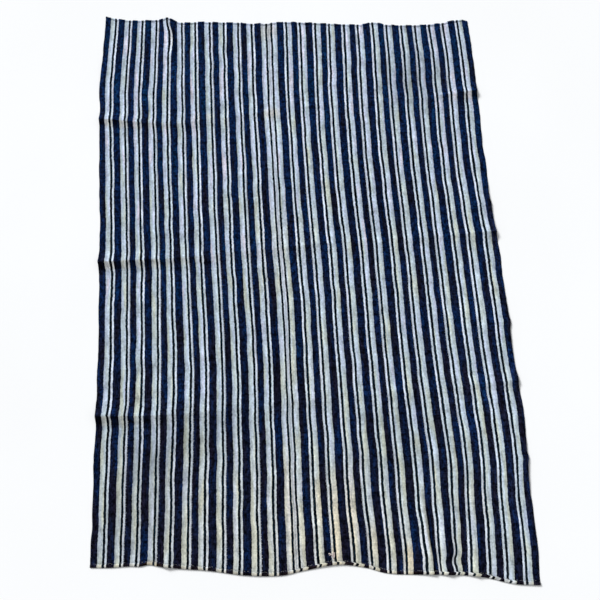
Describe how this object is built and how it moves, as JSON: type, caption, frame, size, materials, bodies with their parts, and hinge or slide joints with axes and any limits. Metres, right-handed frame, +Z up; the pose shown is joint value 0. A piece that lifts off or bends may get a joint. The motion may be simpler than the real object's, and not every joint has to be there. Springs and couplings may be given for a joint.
{
  "type": "handwoven striped cloth",
  "caption": "Flat handwoven cotton cloth of narrow indigo and pale striped strips sewn edge to edge, with rolled hems, lying with soft storage creases.",
  "frame": {"origin": "centre of the laid cloth's outline, on the surface that it lies on", "axes": "+X across the strips, +Y along the strips, +Z up out of the cloth's face"},
  "size_m": [1.1251, 1.665, 0.0166],
  "materials": {
    "strip_cotton": "matte handspun cotton in indigo, near-black and pale blue-white stripes"
  },
  "bodies": {
    "root": {"strip_01": "strip_cotton", "strip_02": "strip_cotton", "strip_03": "strip_cotton", "strip_04": "strip_cotton", "strip_05": "strip_cotton", "strip_06": "strip_cotton", "strip_07": "strip_cotton", "strip_08": "strip_cotton", "strip_09": "strip_cotton", "strip_10": "strip_cotton", "strip_11": "strip_cotton", "strip_12": "strip_cotton", "strip_13": "strip_cotton"}
  },
  "joints": []
}
